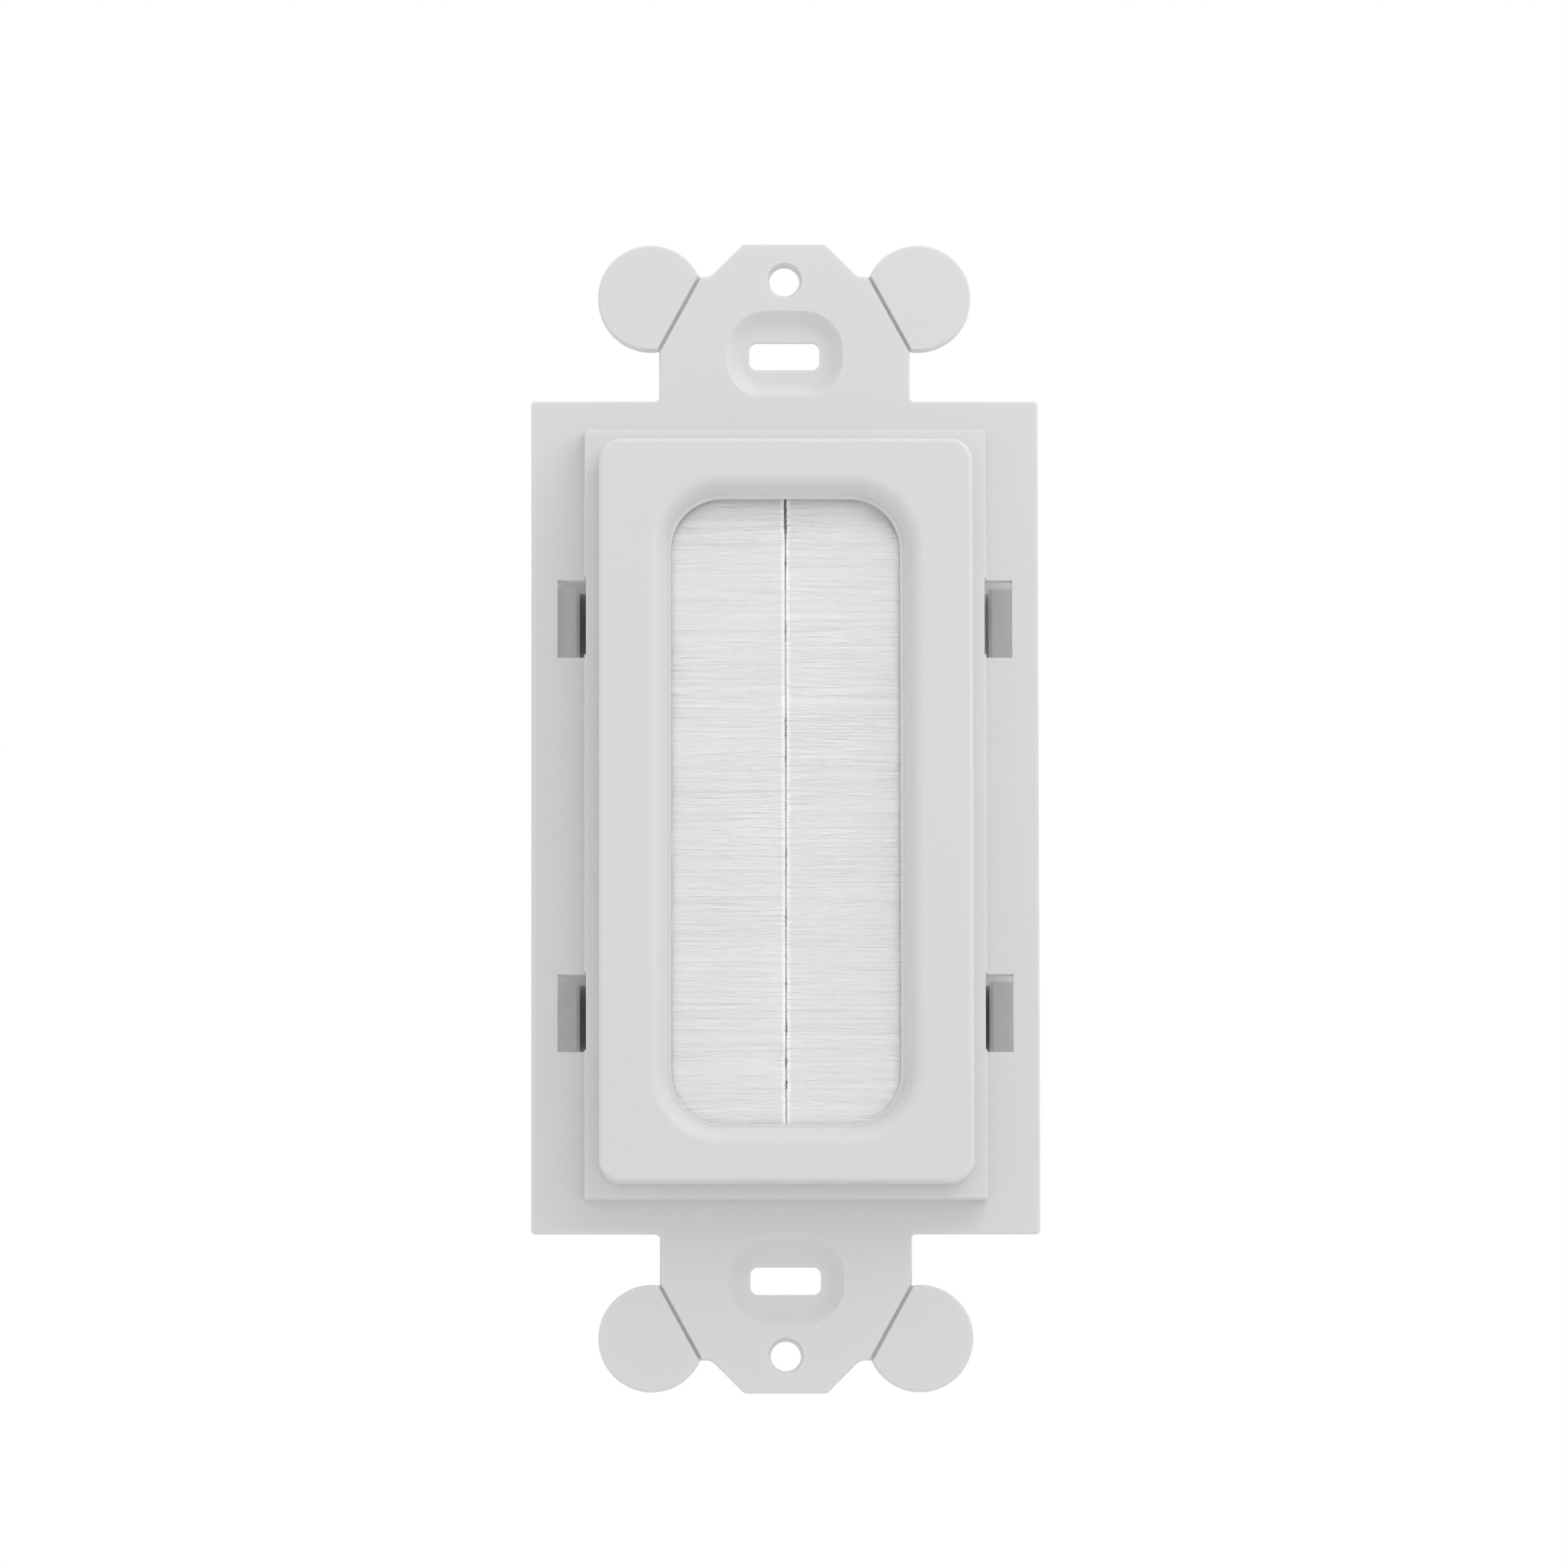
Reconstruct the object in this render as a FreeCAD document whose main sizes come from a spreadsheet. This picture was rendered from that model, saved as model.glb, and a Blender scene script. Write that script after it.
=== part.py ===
import FreeCAD, Part
import math
import os
import Sketcher

# Brush wall plate: a single-gang rectangular insert whose opening is closed by two strips of
# bristles, so that cables pass through the wall and the hole stays covered.
#
# Frame: X to the right, Z up, the front looks along -Y. The origin lies on the strap's rear
# plane, halfway between the two cover screw holes. All lengths are in millimetres.
# Heights are measured forward from the strap's rear plane, so a height of 2 is at y = -2.

SIZES = {
    # Screws: the two standard single-gang patterns, the second a step in from the first
    "cover_screw_spacing": 96.84,
    "device_screw_step": 6.75,
    # Bezel that passes through the cover plate's window, its end a step in from the screws
    "bezel_width": 33.4,
    "bezel_end_step": 15.12,
    "bezel_corner": 2.0,
    "bezel_rise": 6.35,
    "bezel_edge": 0.35,
    # Opening for the cables, its sloping lip and the narrow ledge at the lip's foot
    "opening_side_border": 6.45,
    "opening_end_border": 5.25,
    "opening_corner": 4.6,
    "lip_depth": 1.8,
    "lip_taper": 31.0,
    "lip_radius": 1.25,
    "ledge_width": 0.33,
    "ledge_depth": 1.9,
    "face_wall": 2.3,
    # Collar: the ledge around the bezel's foot
    "collar_side_ledge": 1.3,
    "collar_end_ledge": 1.25,
    "collar_rise": 2.7,
    # Strap: the flat plate with its two narrow ends
    "strap_thickness": 2.0,
    "base_side_margin": 4.75,
    "base_end_margin": 2.9,
    "base_corner": 0.35,
    "tab_width": 22.5,
    "tab_fillet": 0.45,
    "end_margin": 3.28,
    "end_corner": 0.6,
    "shoulder_drop": 2.95,
    "shoulder_flat": 1.0,
    "shoulder_radius": 1.1,
    "broken_edge": 0.12,
    # Break-off ears at the strap's ends
    "ear_diameter": 9.5,
    "ear_overhang": 0.75,
    "ear_drop": 4.85,
    "score_width": 0.4,
    "score_depth": 0.55,
    "score_taper": 16.0,
    "score_overrun": 0.3,
    # Holes in the strap's ends
    "cover_screw_hole": 2.72,
    "lead_in_depth": 0.7,
    "lead_in_taper": 20.0,
    "slot_length": 6.3,
    "slot_height": 2.5,
    "slot_corner": 0.7,
    "dish_length": 10.5,
    "dish_height": 8.0,
    "dish_corner": 3.6,
    "dish_depth": 1.15,
    "dish_slope": 46.0,
    "dish_floor_radius": 1.3,
    # Walls, skirt and clip slots of the moulding
    "wall": 1.5,
    "skirt_depth": 11.0,
    "skirt_inset": 0.15,
    "chamber_corner": 0.4,
    "clip_spacing": 35.5,
    "clip_slot_width": 2.55,
    "clip_slot_height": 7.0,
    "lug_inset": 0.5,
    "lug_reach": 1.15,
    "lug_front": 4.0,
    "lug_land": 0.5,
    "lug_length": 2.3,
    # Rear retainer
    "flange_thickness": 2.0,
    "flange_side_margin": 0.6,
    "flange_end_margin": 1.2,
    "flange_corner": 2.0,
    "flange_edge": 0.5,
    "rear_opening_step": 0.6,
    "rear_lip_bevel": 1.0,
    "ring_wall": 1.7,
    "arm_thickness": 1.5,
    "arm_inset": 0.25,
    "arm_root_radius": 0.6,
    "barb_length": 1.5,
    "barb_gap": 0.55,
    "barb_lead_in": 0.35,
    "snap_clearance": 0.1,
    "crest_clearance": 0.2,
    # Brush strips
    "channel_width": 3.7,
    "channel_thickness": 3.0,
    "channel_sheet": 0.4,
    "channel_clearance": 0.1,
    "channel_end_clearance": 0.25,
    "crimp_length": 0.8,
    "crimp_depth": 0.25,
    "core_wire": 0.8,
    "core_wire_inset": 1.1,
    "core_clearance": 0.05,
    "core_wire_setback": 0.4,
    "bristle_thickness": 2.7,
    "bristle_setback": 0.2,
    "root_tongue": 0.5,
    "tuft_gap": 0.1,
    "tuft_pitch": 1.0,
    "tuft_ridge": 0.22,
    "tip_gap": 0.04,
    "tip_unevenness": 0.16,
}


def grown(rectangle, margin):
    """Return a rounded rectangle's expressions with a margin added all round."""
    width, height, corner = rectangle
    return f"({width} + 2 * {margin})", f"({height} + 2 * {margin})", f"({corner} + {margin})"


# Heights in front of the strap's rear plane, written for the expression engine
COLLAR_FRONT = "(sizes.strap_thickness + sizes.collar_rise)"
FACE_FRONT = "(sizes.strap_thickness + sizes.bezel_rise)"
FACE_REAR = f"({FACE_FRONT} - sizes.face_wall)"
CHAMBER_STEP = f"({COLLAR_FRONT} - sizes.wall)"
DISH_FLOOR = "(sizes.strap_thickness - sizes.dish_depth)"
FLANGE_REAR = "(-1 * (sizes.skirt_depth + sizes.flange_thickness))"
CHANNEL_REAR = f"({FACE_REAR} - sizes.channel_thickness)"
BRUSH_PLANE = f"({FACE_REAR} - sizes.channel_thickness / 2)"

# Rectangles about the middle: width, height and, where it is rounded, the corner radius
BEZEL = (
    "sizes.bezel_width",
    "(sizes.cover_screw_spacing - 2 * sizes.bezel_end_step)",
    "sizes.bezel_corner",
)
OPENING = (
    f"({BEZEL[0]} - 2 * sizes.opening_side_border)",
    f"({BEZEL[1]} - 2 * sizes.opening_end_border)",
    "sizes.opening_corner",
)
COLLAR = (
    f"({BEZEL[0]} + 2 * sizes.collar_side_ledge)",
    f"({BEZEL[1]} + 2 * sizes.collar_end_ledge)",
)
BASE = (
    f"({COLLAR[0]} + 2 * sizes.base_side_margin)",
    f"({COLLAR[1]} + 2 * sizes.base_end_margin)",
)
SKIRT = (f"({COLLAR[0]} - 2 * sizes.skirt_inset)", f"({COLLAR[1]} - 2 * sizes.skirt_inset)")
REAR_CHAMBER = (
    f"({SKIRT[0]} - 2 * sizes.wall)",
    f"({SKIRT[1]} - 2 * sizes.wall)",
    "sizes.chamber_corner",
)
FRONT_CHAMBER = (
    f"({BEZEL[0]} - 2 * sizes.wall)",
    f"({BEZEL[1]} - 2 * sizes.wall)",
    "sizes.chamber_corner",
)
LEDGE = grown(OPENING, "sizes.ledge_width")
LIP = grown(LEDGE, "(sizes.lip_depth * tan(sizes.lip_taper))")
REAR_OPENING = grown(OPENING, "sizes.rear_opening_step")
RING = grown(REAR_OPENING, "sizes.ring_wall")

# Places along the strap's ends: the screws, the ears and the corners between them
COVER_SCREW = "(sizes.cover_screw_spacing / 2)"
DEVICE_SCREW = f"({COVER_SCREW} - sizes.device_screw_step)"
STRAP_END = f"({COVER_SCREW} + sizes.end_margin)"
SHOULDER = f"({STRAP_END} - sizes.shoulder_drop)"
EAR_ACROSS = "(sizes.tab_width / 2 + sizes.ear_overhang)"
EAR_UP = f"({STRAP_END} - sizes.ear_drop)"
EAR_FOOT = f"({EAR_UP} - sqrt((sizes.ear_diameter / 2)^2 - sizes.ear_overhang^2))"
EAR_NECK = (
    f"({EAR_ACROSS} - sqrt((sizes.ear_diameter / 2)^2"
    " - (sizes.ear_drop - sizes.shoulder_drop)^2))"
)
SLOPE_FOOT = f"({EAR_NECK} - sizes.shoulder_flat)"
END_CORNER = f"({SLOPE_FOOT} - sizes.shoulder_drop)"
SCORE_RUN = f"(sizes.tab_width / 2 - {EAR_NECK})"
SCORE_DROP = f"({SHOULDER} - {EAR_FOOT})"
SCORE_LENGTH = f"sqrt({SCORE_RUN}^2 + {SCORE_DROP}^2)"
LEAD_IN_MOUTH = "(sizes.cover_screw_hole / 2 + sizes.lead_in_depth * tan(sizes.lead_in_taper))"

# Places across the snap joint, from the skirt outwards, and along it
SKIRT_SIDE = f"({SKIRT[0]} / 2)"
LUG_CREST = f"({SKIRT_SIDE} + sizes.lug_reach)"
ARM_INNER = f"({LUG_CREST} + sizes.crest_clearance)"
ARM_OUTER = f"({ARM_INNER} + sizes.arm_thickness)"
BARB_TIP = f"({SKIRT_SIDE} + sizes.barb_gap)"
BARB_CATCH = "(sizes.lug_front - sizes.snap_clearance)"
ARM_NOSE = f"({BARB_CATCH} - sizes.barb_length)"

# Places in the brush strips, from the chamber's side inwards
CHANNEL_BACK = f"({FRONT_CHAMBER[0]} / 2 - sizes.channel_clearance)"
CHANNEL_MOUTH = f"({CHANNEL_BACK} - sizes.channel_width)"
CHANNEL_HALF = f"({FRONT_CHAMBER[1]} / 2 - sizes.channel_end_clearance)"
CORE_PLACE = f"({CHANNEL_BACK} - sizes.channel_sheet - sizes.core_wire_inset)"
BRUSH_LENGTH = f"(2 * ({CHANNEL_HALF} - sizes.bristle_setback))"
TUFT_COUNT = f"round({BRUSH_LENGTH} / sizes.tuft_pitch)"
TUFT_STEP = f"({BRUSH_LENGTH} / {TUFT_COUNT})"
TUFT_ROOT = f"({CHANNEL_MOUTH} - sizes.tuft_gap)"

ENDS = {"upper": 1, "lower": -1}
SIDES = {"left": -1, "right": 1}
QUADRANTS = [(side, end) for end in ENDS.values() for side in SIDES.values()]
CLOSE = 1e-4

doc = FreeCAD.newDocument("brush_wall_plate")
sizes = doc.addObject("Spreadsheet::Sheet", "sizes")
for row, (alias, size) in enumerate(SIZES.items(), start=1):
    sizes.set(f"A{row}", alias)
    sizes.set(f"B{row}", str(size))
    sizes.setAlias(f"B{row}", alias)
doc.recompute()


def value(expression):
    """Return the number that an expression gives with the sizes of the sheet."""
    return float(sizes.evalExpression(expression))


def new_body(name):
    """Start a sub-part whose label names its file."""
    body = doc.addObject("PartDesign::Body", name)
    body.Label = name
    return body


def origin_feature(body, role):
    """Return one of the body's own origin planes or axes."""
    return next(item for item in body.Origin.OriginFeatures if item.Role == role)


def new_sketch(body, name, plane="XZ_Plane", offset="0"):
    """Place a sketch on one of the body's origin planes, moved along the plane's normal."""
    sketch = body.newObject("Sketcher::SketchObject", name)
    sketch.AttachmentSupport = [(origin_feature(body, plane), "")]
    sketch.MapMode = "FlatFace"
    sketch.setExpression("AttachmentOffset.Base.z", offset)
    return sketch


def pin(sketch, geometry, point, across, up):
    """Tie a point of a sketch to two expressions, counted from the sketch's origin."""
    for kind, axis, expression in (("DistanceX", -2, across), ("DistanceY", -1, up)):
        distance = value(expression)
        if abs(distance) < 1e-9:
            sketch.addConstraint(Sketcher.Constraint("PointOnObject", geometry, point, axis))
        else:
            constraint = Sketcher.Constraint(kind, -1, 1, geometry, point, distance)
            index = sketch.addConstraint(constraint)
            sketch.setExpression(f"Constraints[{index}]", expression)


def draw_polygon(sketch, corners):
    """Draw a closed outline of straight edges through pairs of expressions."""
    points = [FreeCAD.Vector(value(across), value(up), 0) for across, up in corners]
    following = points[1:] + points[:1]
    lines = [Part.LineSegment(start, end) for start, end in zip(points, following)]
    first = sketch.addGeometry(lines, False)[0]
    for index, (across, up) in enumerate(corners):
        after = first + (index + 1) % len(corners)
        sketch.addConstraint(Sketcher.Constraint("Coincident", first + index, 2, after, 1))
        pin(sketch, first + index, 1, across, up)


def draw_circle(sketch, across, up, radius):
    """Draw a circle about a pair of expressions."""
    centre = FreeCAD.Vector(value(across), value(up), 0)
    circle = Part.Circle(centre, FreeCAD.Vector(0, 0, 1), value(radius))
    geometry = sketch.addGeometry(circle, False)
    pin(sketch, geometry, 3, across, up)
    index = sketch.addConstraint(Sketcher.Constraint("Radius", geometry, value(radius)))
    sketch.setExpression(f"Constraints[{index}]", radius)


def draw_rectangle(sketch, width, height, across="0", up="0"):
    """Draw a rectangle about a pair of expressions."""
    left, right = f"({across} - {width} / 2)", f"({across} + {width} / 2)"
    low, high = f"({up} - {height} / 2)", f"({up} + {height} / 2)"
    draw_polygon(sketch, [(left, low), (right, low), (right, high), (left, high)])


def draw_rounded_rectangle(sketch, width, height, radius, across="0", up="0"):
    """Draw a rectangle with tangent corner arcs about a pair of expressions."""
    quarter = math.pi / 2
    corner = value(radius)
    centres = []
    for step, (side, end) in enumerate(((1, 1), (-1, 1), (-1, -1), (1, -1))):
        centre = (
            f"({across} + {side} * ({width} / 2 - {radius}))",
            f"({up} + {end} * ({height} / 2 - {radius}))",
        )
        middle = FreeCAD.Vector(value(centre[0]), value(centre[1]), 0)
        circle = Part.Circle(middle, FreeCAD.Vector(0, 0, 1), corner)
        arc = Part.ArcOfCircle(circle, step * quarter, (step + 1) * quarter)
        centres.append((sketch.addGeometry(arc, False), centre))
    for (arc, centre), (after, _) in zip(centres, centres[1:] + centres[:1]):
        start, end = sketch.getPoint(arc, 2), sketch.getPoint(after, 1)
        line = sketch.addGeometry(Part.LineSegment(start, end), False)
        sketch.addConstraint(Sketcher.Constraint("Tangent", arc, 2, line, 1))
        sketch.addConstraint(Sketcher.Constraint("Tangent", line, 2, after, 1))
        pin(sketch, arc, 3, *centre)
    first = centres[0][0]
    index = sketch.addConstraint(Sketcher.Constraint("Radius", first, corner))
    sketch.setExpression(f"Constraints[{index}]", radius)
    for arc, _ in centres[1:]:
        sketch.addConstraint(Sketcher.Constraint("Equal", first, arc))


def pad(sketch, length, reverse=False, symmetric=False):
    """Pad a sketch, along its normal unless it is reversed or symmetric."""
    body = sketch.getParentGeoFeatureGroup()
    feature = body.newObject("PartDesign::Pad", sketch.Name + "_pad")
    feature.Profile = sketch
    feature.setExpression("Length", length)
    feature.Reversed = reverse
    if symmetric:
        feature.SideType = "Symmetric"
    return feature


def pocket(sketch, length, reverse=False, taper=None):
    """Cut a sketch into its body, against its normal unless it is reversed."""
    body = sketch.getParentGeoFeatureGroup()
    doc.recompute()
    before = body.Shape.Volume
    feature = body.newObject("PartDesign::Pocket", sketch.Name + "_pocket")
    feature.Profile = sketch
    feature.setExpression("Length", length)
    feature.Reversed = reverse
    if taper:
        feature.setExpression("TaperAngle", taper)
    doc.recompute()
    if body.Shape.Volume > before - 1e-6:
        raise RuntimeError(f"{feature.Name} cuts nothing")
    return feature


def edges_where(shape, test):
    """Name the edges whose box passes a test."""
    return [f"Edge{i}" for i, edge in enumerate(shape.Edges, start=1) if test(edge)]


def dress_edges(kind, size_name, body, name, size, test):
    """Add a fillet or a chamfer along the edges of the body's tip that pass a test."""
    doc.recompute()
    base = body.Tip
    feature = body.newObject(f"PartDesign::{kind}", name)
    feature.Base = (base, edges_where(base.Shape, test))
    feature.setExpression(size_name, size)
    doc.recompute()
    return feature


def round_edges(body, name, radius, test):
    """Round the edges of the body's tip that pass a test."""
    return dress_edges("Fillet", "Radius", body, name, radius, test)


def break_edges(body, name, size, test):
    """Bevel the edges of the body's tip that pass a test."""
    return dress_edges("Chamfer", "Size", body, name, size, test)


def upright_edges_at(across, up):
    """Return a test for edges along Y at a place, on either side and at either end."""
    def test(edge):
        box = edge.BoundBox
        upright = box.XLength < CLOSE and box.ZLength < CLOSE
        at_place = abs(abs(box.XMin) - value(across)) < 10 * CLOSE
        return upright and at_place and abs(abs(box.ZMin) - value(up)) < 10 * CLOSE
    return test


def flat_edges(height, half_width=None, half_height=None):
    """Return a test for edges at a height in front of the rear plane, within half sizes."""
    def test(edge):
        box = edge.BoundBox
        level = box.YLength < CLOSE and abs(box.YMin + value(height)) < 10 * CLOSE
        if level and half_width:
            level = max(abs(box.XMin), abs(box.XMax)) < value(half_width) + 10 * CLOSE
            level = level and max(abs(box.ZMin), abs(box.ZMax)) < value(half_height) + 10 * CLOSE
        return level
    return test


def arm_root_edges(edge):
    """Tell whether an edge is where a snap arm's inner face meets the flange."""
    box = edge.BoundBox
    inner = abs(abs(box.XMin) - value(ARM_INNER)) < 10 * CLOSE and box.XLength < CLOSE
    return inner and box.YLength < CLOSE and abs(box.YMin - value("sizes.skirt_depth")) < CLOSE


def draw_clip_profiles(body, name, end, profile, width):
    """Pad a profile of points across and rearward on both sides, level with the clip slots."""
    sketch = new_sketch(body, name, "XY_Plane", f"{end} * sizes.clip_spacing / 2")
    for hand in SIDES.values():
        draw_polygon(sketch, [(f"{hand} * {across}", rearward) for across, rearward in profile])
    pad(sketch, width, symmetric=True)


def mirrored_quadrant(quadrant):
    """Return a closed outline from the points of its upper right quarter."""
    outline = []
    for side, end, step in ((1, 1, 1), (-1, 1, -1), (-1, -1, 1), (1, -1, -1)):
        for across, up in quadrant[::step]:
            outline.append((f"{side} * {across}", f"{end} * {up}"))
    return outline


def mirrored_section(upper, hand):
    """Return a strip's closed section from the points of its front half."""
    front = [(f"{hand} * {across}", f"-1 * ({BRUSH_PLANE} + {rise})") for across, rise in upper]
    rear = [(f"{hand} * {across}", f"-1 * ({BRUSH_PLANE} - ({rise}))") for across, rise in upper]
    return front + rear[::-1]


front_plate = new_body("front_plate")

# Strap: base plate, two narrow ends and four ears, all of one thickness
sketch = new_sketch(front_plate, "base_outline")
draw_rectangle(sketch, *BASE)
pad(sketch, "sizes.strap_thickness")

quadrant = [
    ("sizes.tab_width / 2", EAR_FOOT),
    (EAR_NECK, SHOULDER),
    (SLOPE_FOOT, SHOULDER),
    (END_CORNER, STRAP_END),
]
sketch = new_sketch(front_plate, "ends_outline")
draw_polygon(sketch, mirrored_quadrant(quadrant))
pad(sketch, "sizes.strap_thickness")
sketch = new_sketch(front_plate, "ears_outline")
for side, end in QUADRANTS:
    draw_circle(sketch, f"{side} * {EAR_ACROSS}", f"{end} * {EAR_UP}", "sizes.ear_diameter / 2")
pad(sketch, "sizes.strap_thickness")

corners = (
    ("base_corners", "sizes.base_corner", f"{BASE[0]} / 2", f"{BASE[1]} / 2"),
    ("tab_roots", "sizes.tab_fillet", "sizes.tab_width / 2", f"{BASE[1]} / 2"),
    ("end_corners", "sizes.end_corner", END_CORNER, STRAP_END),
    ("shoulders", "sizes.shoulder_radius", SLOPE_FOOT, SHOULDER),
)
for name, radius, across, up in corners:
    round_edges(front_plate, name, radius, upright_edges_at(across, up))
break_edges(front_plate, "strap_edges", "sizes.broken_edge", flat_edges("sizes.strap_thickness"))

# Collar and bezel in front, skirt behind
sketch = new_sketch(front_plate, "collar_outline", offset="sizes.strap_thickness")
draw_rectangle(sketch, *COLLAR)
pad(sketch, "sizes.collar_rise")
break_edges(front_plate, "collar_edges", "sizes.broken_edge", flat_edges(COLLAR_FRONT))
sketch = new_sketch(front_plate, "bezel_outline", offset=COLLAR_FRONT)
draw_rounded_rectangle(sketch, *BEZEL)
pad(sketch, "sizes.bezel_rise - sizes.collar_rise")
round_edges(front_plate, "bezel_edges", "sizes.bezel_edge", flat_edges(FACE_FRONT))
sketch = new_sketch(front_plate, "skirt_outline")
draw_rectangle(sketch, *SKIRT)
pad(sketch, "sizes.skirt_depth", reverse=True)

# Clip slots beside the skirt, and behind each the lug that a snap arm hooks on
sketch = new_sketch(front_plate, "clip_slots", offset=COLLAR_FRONT)
for side, end in QUADRANTS:
    across = f"{side} * ({SKIRT_SIDE} + sizes.clip_slot_width / 2)"
    up = f"{end} * sizes.clip_spacing / 2"
    draw_rectangle(sketch, "sizes.clip_slot_width", "sizes.clip_slot_height", across, up)
pocket(sketch, f"2 * {COLLAR_FRONT}")
lug_root = f"({SKIRT_SIDE} - sizes.wall / 2)"
lug_profile = [
    (lug_root, "sizes.lug_front"),
    (LUG_CREST, "sizes.lug_front"),
    (LUG_CREST, "sizes.lug_front + sizes.lug_land"),
    (SKIRT_SIDE, "sizes.lug_front + sizes.lug_length"),
    (lug_root, "sizes.lug_front + sizes.lug_length"),
]
lug_width = "sizes.clip_slot_height - 2 * sizes.lug_inset"
for name, end in ENDS.items():
    draw_clip_profiles(front_plate, f"{name}_lugs", end, lug_profile, lug_width)

# Sloping lip around the opening, rounded into the face, with a narrow ledge below its foot
sketch = new_sketch(front_plate, "lip", offset=FACE_FRONT)
draw_rounded_rectangle(sketch, *LIP)
pocket(sketch, "sizes.lip_depth", taper="-1 * sizes.lip_taper")
lip_edges = flat_edges(FACE_FRONT, f"{LIP[0]} / 2", f"{LIP[1]} / 2")
round_edges(front_plate, "rounded_lip", "sizes.lip_radius", lip_edges)
sketch = new_sketch(front_plate, "ledge", offset=FACE_FRONT)
draw_rounded_rectangle(sketch, *LEDGE)
pocket(sketch, "sizes.ledge_depth")

# Stepped chamber for the brush strips and the retainer, open at the rear, and the opening to it
sketch = new_sketch(front_plate, "rear_chamber", offset="-1 * sizes.skirt_depth")
draw_rounded_rectangle(sketch, *REAR_CHAMBER)
pocket(sketch, f"sizes.skirt_depth + {CHAMBER_STEP}", reverse=True)
sketch = new_sketch(front_plate, "front_chamber", offset="-1 * sizes.skirt_depth")
draw_rounded_rectangle(sketch, *FRONT_CHAMBER)
pocket(sketch, f"sizes.skirt_depth + {FACE_REAR}", reverse=True)

sketch = new_sketch(front_plate, "opening", offset=FACE_FRONT)
draw_rounded_rectangle(sketch, *OPENING)
pocket(sketch, "2 * sizes.face_wall")

# Cover screw holes, each with a lead-in at its front
sketch = new_sketch(front_plate, "cover_screw_holes", offset="sizes.strap_thickness")
for end in ENDS.values():
    draw_circle(sketch, "0", f"{end} * {COVER_SCREW}", "sizes.cover_screw_hole / 2")
pocket(sketch, "2 * sizes.strap_thickness")
sketch = new_sketch(front_plate, "lead_ins", offset="sizes.strap_thickness")
for end in ENDS.values():
    draw_circle(sketch, "0", f"{end} * {COVER_SCREW}", LEAD_IN_MOUTH)
pocket(sketch, "sizes.lead_in_depth", taper="-1 * sizes.lead_in_taper")

# Dishes for the heads of the device screws, and the slots in their floors
dish = ("sizes.dish_length", "sizes.dish_height", "sizes.dish_corner")
sketch = new_sketch(front_plate, "dishes", offset="sizes.strap_thickness")
for end in ENDS.values():
    draw_rounded_rectangle(sketch, *dish, up=f"{end} * {DEVICE_SCREW}")
pocket(sketch, "sizes.dish_depth", taper="-1 * sizes.dish_slope")
round_edges(front_plate, "dish_floors", "sizes.dish_floor_radius", flat_edges(DISH_FLOOR))
slot = ("sizes.slot_length", "sizes.slot_height", "sizes.slot_corner")
sketch = new_sketch(front_plate, "screw_slots", offset="sizes.strap_thickness")
for end in ENDS.values():
    draw_rounded_rectangle(sketch, *slot, up=f"{end} * {DEVICE_SCREW}")
pocket(sketch, "2 * sizes.strap_thickness")

# Break-off lines across the necks of the ears
sketch = new_sketch(front_plate, "break_lines", offset="sizes.strap_thickness")
for side, end in QUADRANTS:
    corners = []
    for along, beside in ((0, -1), (1, -1), (1, 1), (0, 1)):
        reach = f"({along} * {SCORE_LENGTH} + {2 * along - 1} * sizes.score_overrun)"
        offset = f"({beside} * sizes.score_width / 2)"
        run = f"({reach} * {SCORE_RUN} + {offset} * {SCORE_DROP})"
        drop = f"({reach} * {SCORE_DROP} - {offset} * {SCORE_RUN})"
        across = f"({EAR_NECK} + {run} / {SCORE_LENGTH})"
        up = f"({SHOULDER} - {drop} / {SCORE_LENGTH})"
        corners.append((f"{side} * {across}", f"{end} * {up}"))
    draw_polygon(sketch, corners)
pocket(sketch, "sizes.score_depth", taper="-1 * sizes.score_taper")

rear_retainer = new_body("rear_retainer")

# Flange against the skirt's rear edge, and the ring that presses the strips forward
sketch = new_sketch(rear_retainer, "flange_outline", offset="-1 * sizes.skirt_depth")
draw_rounded_rectangle(
    sketch,
    f"(2 * ({ARM_OUTER} + sizes.flange_side_margin))",
    f"({SKIRT[1]} + 2 * sizes.flange_end_margin)",
    "sizes.flange_corner",
)
pad(sketch, "sizes.flange_thickness", reverse=True)
break_edges(rear_retainer, "flange_edges", "sizes.flange_edge", flat_edges(FLANGE_REAR))
sketch = new_sketch(rear_retainer, "ring_outline", offset="-1 * sizes.skirt_depth")
draw_rounded_rectangle(sketch, *RING)
pad(sketch, f"sizes.skirt_depth + {CHANNEL_REAR}")
sketch = new_sketch(rear_retainer, "rear_opening", offset=CHANNEL_REAR)
draw_rounded_rectangle(sketch, *REAR_OPENING)
pocket(sketch, f"2 * (sizes.skirt_depth + {CHANNEL_REAR})")
lip_edges = flat_edges(FLANGE_REAR, f"{REAR_OPENING[0]} / 2", f"{REAR_OPENING[1]} / 2")
break_edges(rear_retainer, "rear_lip", "sizes.rear_lip_bevel", lip_edges)

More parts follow.
